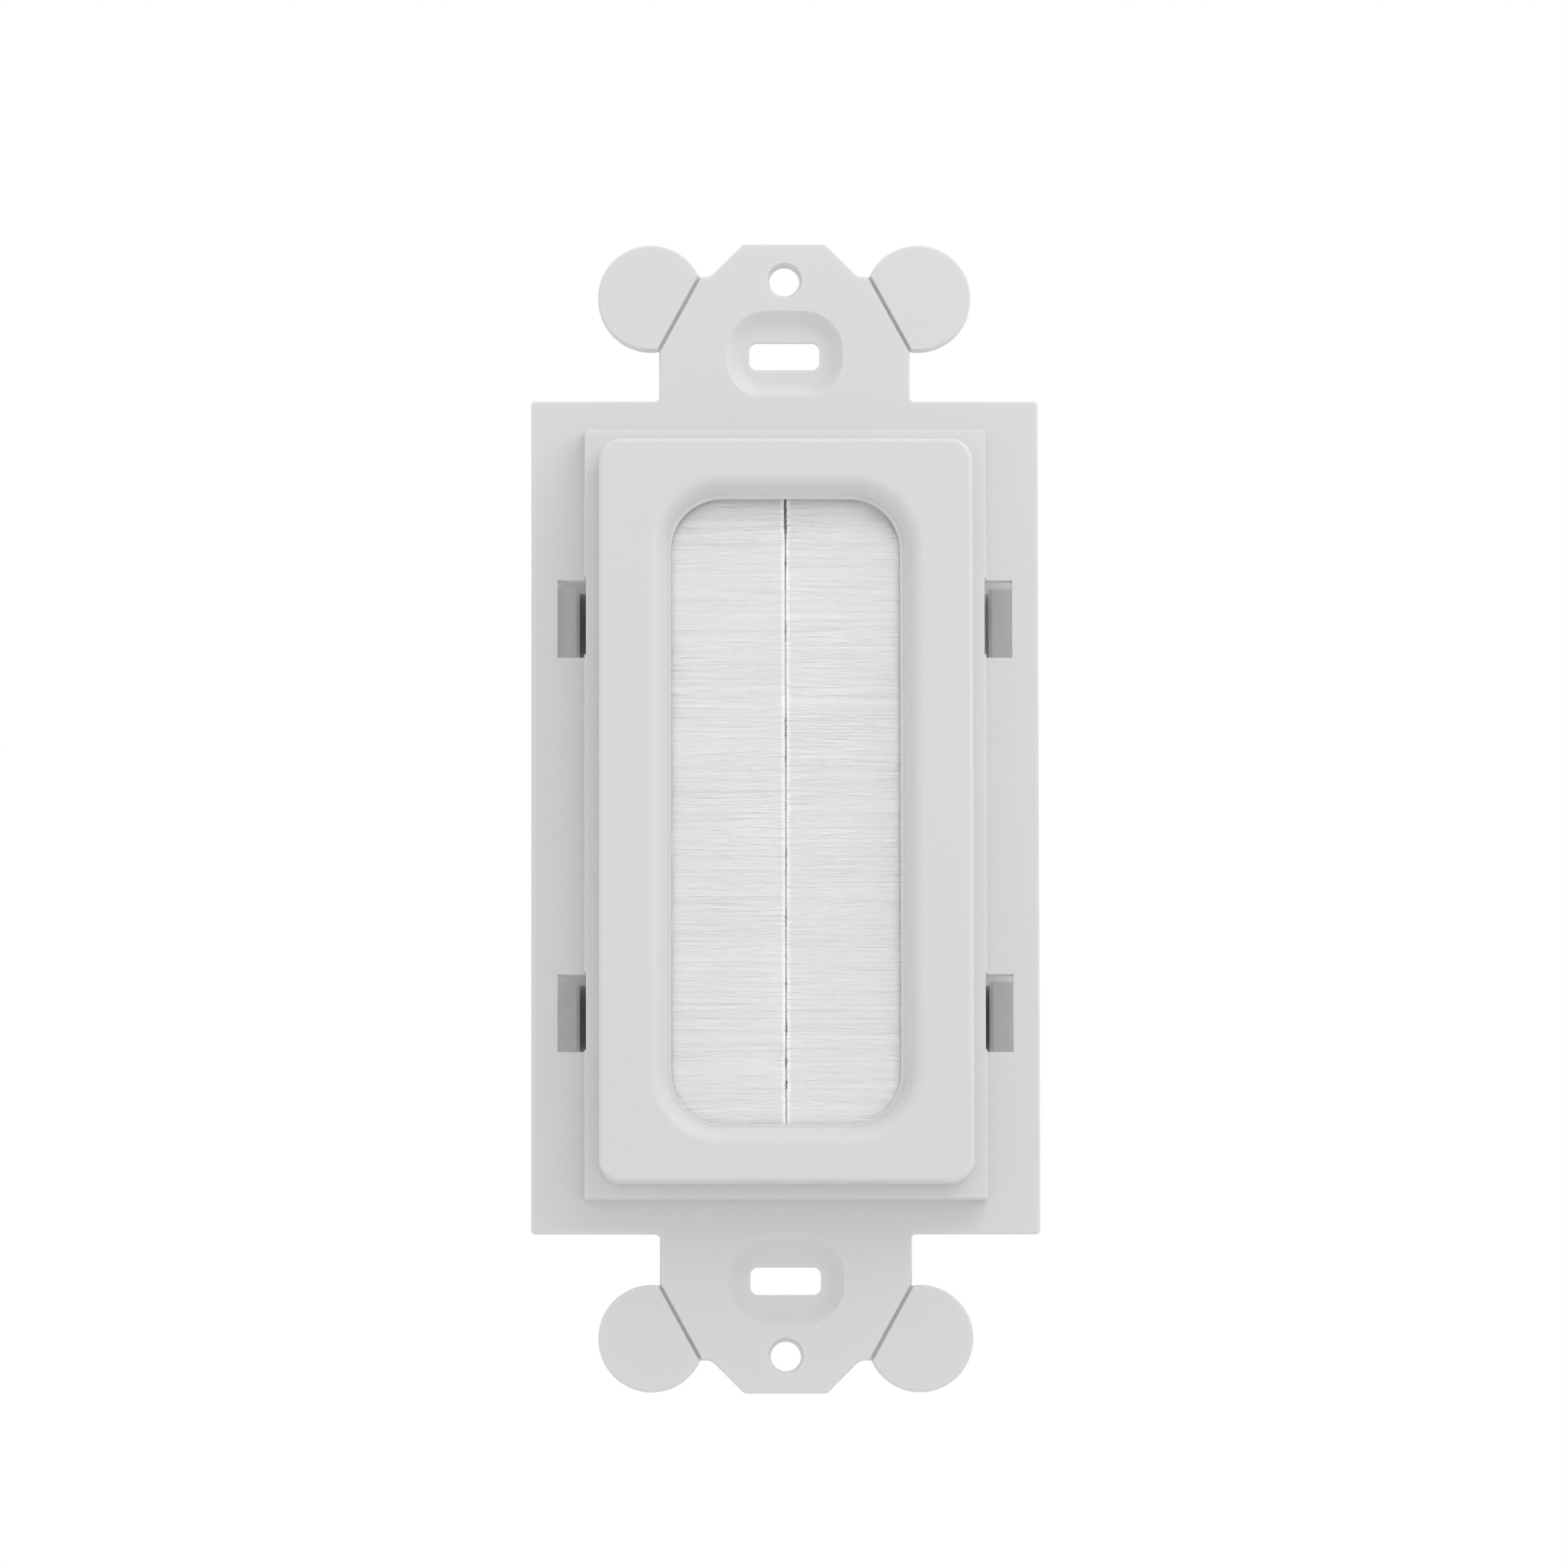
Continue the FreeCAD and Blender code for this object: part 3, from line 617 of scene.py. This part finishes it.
    def _lay_roots(self, build: NodeBuilder, given: Any) -> Socket:
        """Spread the roots evenly over the pack's height and thickness.

        Args:
            build: The tree's node builder.
            given: The tree's inputs.

        Returns:
            The roots as points. Each carries its filament's rise, which is its layer's distance
            from the brush plane, and its level, tone and drift.
        """
        index = build.add("GeometryNodeInputIndex").outputs[0]
        level = build.math("DIVIDE", build.math("ADD", index, 0.5), given["Count"])
        level = build.math("MULTIPLY_ADD", level, 2.0, -1.0)
        jitter = build.math("SUBTRACT", self._random(build, given, Draw.PLACE), 0.5)
        jitter = build.math("MULTIPLY", jitter, self.root_jitter)
        height = build.math("MULTIPLY_ADD", level, given["Half Height"], jitter)
        layer = build.math("FRACT", build.math("MULTIPLY", index, GOLDEN_SHARE))
        layer = build.math("MULTIPLY_ADD", layer, 2.0, -1.0)
        rise = build.math("MULTIPLY", self._crowd_outwards(build, layer), given["Half Thickness"])
        place = build.add("ShaderNodeCombineXYZ", {
            "X": build.math("MULTIPLY", given["Hand"], given["Root Across"]),
            "Y": self.brush_plane,
            "Z": height,
        })
        points = build.add("GeometryNodePoints", {
            "Count": given["Count"], "Position": place.outputs[0],
        }).outputs[0]
        points = self._store(build, points, "rise", rise)
        points = self._store(build, points, "level", level)
        points = self._store(build, points, "tone", self._tone(build, given, height))
        return self._store(build, points, "drift", self._drift(build, given, height))

    def _crowd_outwards(self, build: NodeBuilder, layer: Socket) -> Socket:
        """Move most of the filaments into the layers outside the core.

        Args:
            build: The tree's node builder.
            layer: The even spread of the filaments, from -1 at the front to 1 at the rear.

        Returns:
            The crowded spread, in the same range.
        """
        inside = self.core_half_thickness / self.half_thickness
        depth = build.math("ABSOLUTE", layer)
        inner = build.span(depth, 0.0, self.inner_share, 0.0, inside)
        outer = build.span(depth, self.inner_share, 1.0, 0.0, 1.0 - inside)
        return build.math("MULTIPLY", build.math("ADD", inner, outer), build.math("SIGN", layer))

    def _tone(self, build: NodeBuilder, given: Any, height: Socket) -> Socket:
        """Give each filament a tone that goes partly with its clump.

        Args:
            build: The tree's node builder.
            given: The tree's inputs.
            height: The root's height.

        Returns:
            The tone, from 0 to 1.
        """
        clump = self._clumps(build, height, self.tone_scale, 2.0)
        clump = build.math("MULTIPLY", clump, self.clump_tone)
        own = build.math("MULTIPLY", self._random(build, given, Draw.TONE), self.own_tone)
        return build.math("ADD", clump, own)

    def _drift(self, build: NodeBuilder, given: Any, height: Socket) -> Socket:
        """Say how far each tip stands above its root: with its clump, and drooping at the ends.

        Args:
            build: The tree's node builder.
            given: The tree's inputs.
            height: The root's height.

        Returns:
            The tip's height over its root.
        """
        shift = build.math("MULTIPLY", given["Hand"], self.clump_shift)
        clump = self._clumps(build, build.math("ADD", height, shift), self.clump_scale, 2.0)
        swing = build.math("MULTIPLY", build.math("SUBTRACT", clump, 0.5), given["Clump Drift"])
        own = build.math("SUBTRACT", self._random(build, given, Draw.STRAY), 0.5)
        loose = build.math("MULTIPLY", build.math("POWER", build.math("ABSOLUTE", own), 2.0), own)
        stray = build.math("MULTIPLY", loose, self.stray)
        level = build.math("DIVIDE", height, given["Half Height"])
        end = build.span(build.math("ABSOLUTE", level), self.droop_start, 1.0)
        end = build.math("POWER", end, self.droop_power)
        inward = build.math("MULTIPLY", build.math("SIGN", level), -1.0)
        droop = build.math("MULTIPLY", build.math("MULTIPLY", end, inward), given["End Droop"])
        return build.math("ADD", build.math("ADD", swing, stray), droop)

    def _draw_filament(self, build: NodeBuilder, given: Any) -> Socket:
        """Draw one straight filament from its root at the origin towards the middle.

        Args:
            build: The tree's node builder.
            given: The tree's inputs.

        Returns:
            The filament, with "along" on its points and its joints crowded towards the root.
        """
        reach = build.math("MULTIPLY", given["Length"], build.math("MULTIPLY", given["Hand"], -1.0))
        left = build.add("ShaderNodeCombineXYZ", {"X": build.math("MINIMUM", reach, 0.0)})
        right = build.add("ShaderNodeCombineXYZ", {"X": build.math("MAXIMUM", reach, 0.0)})
        line = build.add("GeometryNodeCurvePrimitiveLine", {
            "Start": left.outputs[0], "End": right.outputs[0],
        }).outputs[0]
        line = build.add("GeometryNodeResampleCurve", {"Curve": line, "Count": self.joints})
        ring = build.add("GeometryNodeCurvePrimitiveCircle", {
            "Resolution": self.sides, "Radius": given["Radius"],
        })
        mesh = build.add("GeometryNodeCurveToMesh", {
            "Curve": line.outputs[0], "Profile Curve": ring.outputs[0], "Fill Caps": True,
        })
        rounded = build.add("GeometryNodeSetShadeSmooth", {"Geometry": mesh.outputs[0]}).outputs[0]
        place = build.add("GeometryNodeInputPosition").outputs[0]
        across = build.add("ShaderNodeSeparateXYZ", {0: place}).outputs["X"]
        even = build.math("ABSOLUTE", build.math("DIVIDE", across, given["Length"]))
        along = build.math("POWER", even, self.root_crowding)
        shaped = self._store(build, rounded, "along", along)
        crowding = build.math("SUBTRACT", self._recall(build, "along"), even)
        return self._move(build, shaped, {"X": build.math("MULTIPLY", crowding, reach)})

    def _draw_core(self, build: NodeBuilder, given: Any) -> Socket:
        """Draw the dense middle of the pack, which no light passes, and its fold in the channel.

        Args:
            build: The tree's node builder.
            given: The tree's inputs.

        Returns:
            The two blocks. The front of the core's tip stands back where the filaments part.
        """
        body = self._slab(build, given, self.core_across, self.core_half_thickness)
        fold = self._slab(build, given, self.fold_across, self.fold_half_thickness)
        spot = build.add("GeometryNodeInputPosition").outputs[0]
        split = build.add("ShaderNodeSeparateXYZ", {0: spot}).outputs
        level = build.math("DIVIDE", split["Z"], given["Half Height"])
        back = build.math("MULTIPLY", self._parting(build, level), given["Hand"])
        near = build.math("LESS_THAN", build.math("ABSOLUTE", split["X"]), self.core_tip_zone)
        ahead = build.math("LESS_THAN", split["Y"], self.brush_plane)
        foremost = build.math("MULTIPLY", near, ahead)
        groove = build.math("MULTIPLY", given["Hand"], self.core_groove)
        away = build.math("MULTIPLY_ADD", back, self.core_parting, groove)
        shift = build.math("MULTIPLY", away, foremost)
        front = build.math("MINIMUM", build.math("SUBTRACT", split["Y"], self.brush_plane), 0.0)
        thinner = build.math("SUBTRACT", self._thinning(build, level), 1.0)
        sink = build.math("MULTIPLY", front, thinner)
        both = self._join(build, self._move(build, body, {"X": shift, "Y": sink}), fold)
        core = self._store(build, both, "along", self.core_tone)
        return self._store(build, core, "tone", self.core_tone)

    def _slab(self, build: NodeBuilder, given: Any, across: tuple[float, float],
              half_thickness: float) -> Socket:
        """Draw a flat block of packed filaments.

        Args:
            build: The tree's node builder.
            given: The tree's inputs.
            across: The block's near and far side.
            half_thickness: Half its thickness.

        Returns:
            The block, in rows up the strip.
        """
        near, far = across
        size = build.add("ShaderNodeCombineXYZ", {
            "X": far - near,
            "Y": 2.0 * half_thickness,
            "Z": build.math("MULTIPLY", given["Half Height"], self.core_height),
        }).outputs[0]
        block = build.add("GeometryNodeMeshCube", {
            "Size": size, "Vertices Z": self.core_rows,
        }).outputs[0]
        place = build.add("ShaderNodeCombineXYZ", {
            "X": build.math("MULTIPLY", given["Hand"], (near + far) / 2),
            "Y": self.brush_plane,
        }).outputs[0]
        moved = build.add("GeometryNodeTransform", {"Geometry": block, "Translation": place})
        return moved.outputs[0]

    def _parting(self, build: NodeBuilder, level: Socket) -> Socket:
        """Say how far the front filaments part from the middle: near the top, and in notches.

        Args:
            build: The tree's node builder.
            level: The level on the strip.

        Returns:
            The distance.
        """
        top = build.span(level, *self.parting_span, 0.0, self.parting)
        ragged = self._clumps(build, level, self.notch_scale, 1.0)
        return build.math("MAXIMUM", top, build.span(ragged, *self.notch_span, 0.0, self.notch))

    def _thinning(self, build: NodeBuilder, level: Socket) -> Socket:
        """Say what share of the pack's front half is left near the top of the opening."""
        return build.span(level, *self.thin_span, 1.0, self.thin_share)

    def _scale_lengths(self, build: NodeBuilder, given: Any) -> Socket:
        """Scale each filament's length: uneven tips, and longer ones towards the rear.

        Args:
            build: The tree's node builder.
            given: The tree's inputs.

        Returns:
            The filament's scale, along its length alone.
        """
        rise = self._recall(build, "rise")
        rearward = build.span(rise, *self.rear_span)
        longer = build.math("MULTIPLY", rearward, given["Rear Reach"])
        uneven = self._random(build, given, Draw.LENGTH)
        uneven = build.math("MULTIPLY", uneven, given["Tip Scatter"])
        ragged = build.math("MULTIPLY_ADD", rearward, -self.rear_evenness, 1.0)
        uneven = build.math("MULTIPLY", uneven, ragged)
        parted = self._parting(build, self._recall(build, "level"))
        parted = build.math("MULTIPLY", parted, build.span(rise, *self.front_span))
        change = build.math("SUBTRACT", build.math("SUBTRACT", longer, uneven), parted)
        scale = build.math("ADD", 1.0, build.math("DIVIDE", change, given["Length"]))
        return build.add("ShaderNodeCombineXYZ", {"X": scale, "Y": 1.0, "Z": 1.0}).outputs[0]

    def _comb(self, build: NodeBuilder, given: Any, geometry: Socket) -> Socket:
        """Bend the filaments: through the channel's mouth, then along their clump's drift.

        Args:
            build: The tree's node builder.
            given: The tree's inputs.
            geometry: The straight filaments.

        Returns:
            The bent filaments.
        """
        along = self._recall(build, "along")
        mouth = (self.root_across - self.mouth_across) / self.length
        full = (self.root_across - self.full_across) / self.length
        spread = build.span(along, 0.0, full, self.throat, 1.0)
        rise = build.math("MULTIPLY", self._recall(build, "rise"), spread)
        thinned = build.math("MULTIPLY", rise, self._thinning(build, self._recall(build, "level")))
        front = build.math("MINIMUM", thinned, 0.0)
        rear = build.math("MAXIMUM", rise, 0.0)
        free = build.math("POWER", build.span(along, mouth, 1.0), self.lean_power)
        return self._move(build, geometry, {
            "Y": build.math("ADD", front, rear),
            "Z": build.math("MULTIPLY", free, self._recall(build, "drift")),
        })

    def _run_tree(self, name: str) -> bpy.types.Mesh:
        """Run the tree on an empty host and keep its result as a plain mesh.

        Args:
            name: The mesh's name.

        Returns:
            The mesh.
        """
        tree = self.build_tree()
        host = bpy.data.objects.new(f"{name}_host", bpy.data.meshes.new(f"{name}_host"))
        bpy.context.collection.objects.link(host)
        modifier = host.modifiers.new("brush", "NODES")
        modifier.node_group = tree
        sizes = {
            "Count": self.count,
            "Hand": float(self.side.value),
            "Root Across": self.root_across,
            "Length": self.length,
            "Radius": self.filament_radius,
            "Half Height": self.half_height,
            "Half Thickness": self.half_thickness,
            "Tip Scatter": self.tip_scatter,
            "Rear Reach": self.rear_reach,
            "Clump Drift": self.clump_drift,
            "End Droop": self.end_droop[self.side],
            "Seed": self.seed + self.side.value,
            "Material": self.finish.material(),
        }
        for item in tree.interface.items_tree:
            if item.in_out == "INPUT" and item.name in sizes:
                modifier[item.identifier] = sizes[item.name]
        host.update_tag()
        graph = bpy.context.evaluated_depsgraph_get()
        mesh = bpy.data.meshes.new_from_object(host.evaluated_get(graph), depsgraph=graph)
        host.modifiers.remove(modifier)
        bpy.data.objects.remove(host)
        mesh.name = name
        return mesh

    def build(self) -> bpy.types.Object:
        """Make the pack of filaments that stands for the CAD node.

        Returns:
            The finished piece.
        """
        name = f"{self.side.label}_filaments"
        mesh = self._run_tree(name)
        piece = bpy.data.objects.new(name, mesh)
        bpy.context.collection.objects.link(piece)
        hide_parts(f"{self.side.label}_bristles")
        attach(piece, "root")
        LOG.info("%s: %d filaments, %d faces", name, self.count, len(mesh.polygons))
        return piece


@dataclass
class BrushHolder:
    """The folded channels and core wires, which keep their CAD shape and get a finish."""

    channel: DrawnMetal
    wire: DrawnMetal

    def dress(self) -> None:
        """Give each CAD node of the strips' holders its material."""
        channel, wire = self.channel.material(), self.wire.material()
        for side in Side:
            for part, material in (("channel", channel), ("core_wire", wire)):
                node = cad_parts[f"{side.label}_{part}"]
                node.data.materials.clear()
                node.data.materials.append(material)
                LOG.info("%s: dressed in %s", node.name, material.name)


@dataclass
class Studio:
    """A pale floor far below, a soft key light and an even surrounding light."""

    floor_drop: float = 0.32
    floor_size: float = 6.0
    floor_colour: Colour = (0.92, 0.92, 0.92)
    floor_roughness: float = 0.9
    ambient: Colour = (0.83, 0.83, 0.83)
    backdrop: Colour = (1.0, 1.0, 1.0)
    key_direction: Vector = field(default_factory=lambda: Vector((0.54, -0.46, 0.74)))
    key_distance: float = 0.40
    key_size: float = 0.40
    key_energy: float = 0.50

    def build(self) -> None:
        """Make the floor, the light and the world."""
        self._lay_floor()
        self._hang_key()
        self._surround()

    def _lay_floor(self) -> None:
        """Lay the floor, which the photograph's camera looks over."""
        half = self.floor_size / 2
        mesh = bpy.data.meshes.new("floor")
        ends = [(-half, -half), (half, -half), (half, half), (-half, half)]
        mesh.from_pydata([(x, y, -self.floor_drop) for x, y in ends], [], [(0, 1, 2, 3)])
        floor = bpy.data.objects.new("floor", mesh)
        bpy.context.collection.objects.link(floor)
        constants = {"Base Color": (*self.floor_colour, 1.0), "Roughness": self.floor_roughness}
        mesh.materials.append(start_material("pale_floor", constants)[0])

    def _hang_key(self) -> None:
        """Hang the soft key light above, to the right and in front."""
        lamp = bpy.data.lights.new("key", "AREA")
        lamp.shape = "DISK"
        lamp.size = self.key_size
        lamp.energy = self.key_energy
        key = bpy.data.objects.new("key", lamp)
        bpy.context.collection.objects.link(key)
        direction = self.key_direction.normalized()
        key.location = direction * self.key_distance
        key.rotation_mode = "QUATERNION"
        key.rotation_quaternion = direction.to_track_quat("Z", "Y")

    def _surround(self) -> None:
        """Light evenly from all round, and show white to the camera and in reflections."""
        world = bpy.data.worlds.new("surround")
        bpy.context.scene.world = world
        world.use_nodes = True
        world.node_tree.nodes.clear()
        build = NodeBuilder(world.node_tree)
        path = build.add("ShaderNodeLightPath").outputs
        seen = build.math("MAXIMUM", path["Is Camera Ray"], path["Is Glossy Ray"])
        seen = build.math("MAXIMUM", seen, path["Is Transmission Ray"])
        soft = build.add("ShaderNodeBackground", {"Color": (*self.ambient, 1.0)})
        white = build.add("ShaderNodeBackground", {"Color": (*self.backdrop, 1.0)})
        mixed = build.add("ShaderNodeMixShader", {
            0: seen, 1: soft.outputs[0], 2: white.outputs[0],
        })
        build.add("ShaderNodeOutputWorld", {"Surface": mixed.outputs[0]})


@dataclass
class Viewpoint:
    """The photograph's viewing angle: nearly square on, and looking up from a little below."""

    azimuth: float = -0.79
    elevation: float = -5.99
    roll: float = -0.088
    distance: float = 1.3
    target: Vector = field(default_factory=lambda: Vector((-0.076 * MM, 0.0, 3.079 * MM)))
    pixels_per_mm: float = 13.727
    frame_pixels: int = 1932
    sensor: float = 36.0
    clip_start: float = 0.05
    clip_end: float = 20.0

    def build(self) -> None:
        """Make the scene's camera."""
        data = bpy.data.cameras.new("camera")
        data.sensor_width = self.sensor
        data.lens = self.pixels_per_mm / MM * self.distance / self.frame_pixels * self.sensor
        data.clip_start = self.clip_start
        data.clip_end = self.clip_end
        camera = bpy.data.objects.new("camera", data)
        bpy.context.collection.objects.link(camera)
        turn, lift = math.radians(self.azimuth), math.radians(self.elevation)
        back = Vector((
            math.sin(turn) * math.cos(lift),
            -math.cos(turn) * math.cos(lift),
            math.sin(lift),
        ))
        camera.location = self.target + back * self.distance
        camera.rotation_mode = "QUATERNION"
        tilt = Quaternion((0.0, 0.0, 1.0), math.radians(self.roll))
        camera.rotation_quaternion = back.to_track_quat("Z", "Y") @ tilt
        bpy.context.scene.camera = camera


def main() -> None:
    """Dress every piece of the wall plate and set the view."""
    logging.basicConfig(level=logging.INFO, format="%(name)s: %(message)s")
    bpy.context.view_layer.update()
    bpy.context.scene.view_settings.view_transform = "Standard"
    MouldedGrain().build()
    DrawnStreaks().build()

    front = MouldedPlastic("front_plastic", colour=(0.745, 0.742, 0.74))
    rear = MouldedPlastic("rear_plastic", colour=(0.66, 0.658, 0.656), roughness=0.55)
    # The nylon's tip colour is a painted highlight on the cut tips.
    nylon = NylonFilament("nylon", body=(0.775, 0.773, 0.77), tip=(0.93, 0.93, 0.925))
    aluminium = DrawnMetal("rolled_aluminium", colour=(0.78, 0.79, 0.80), roughness=0.38)
    steel = DrawnMetal("drawn_steel", colour=(0.56, 0.57, 0.58), roughness=0.32)

    MouldedPart("front_plate", "front_moulding", front).build()
    MouldedPart("rear_retainer", "rear_moulding", rear).build()
    BrushHolder(aluminium, steel).dress()
    for side in Side:
        BrushStrip(side, nylon).build()

    Studio().build()
    Viewpoint().build()


if __name__ == "__main__":
    main()
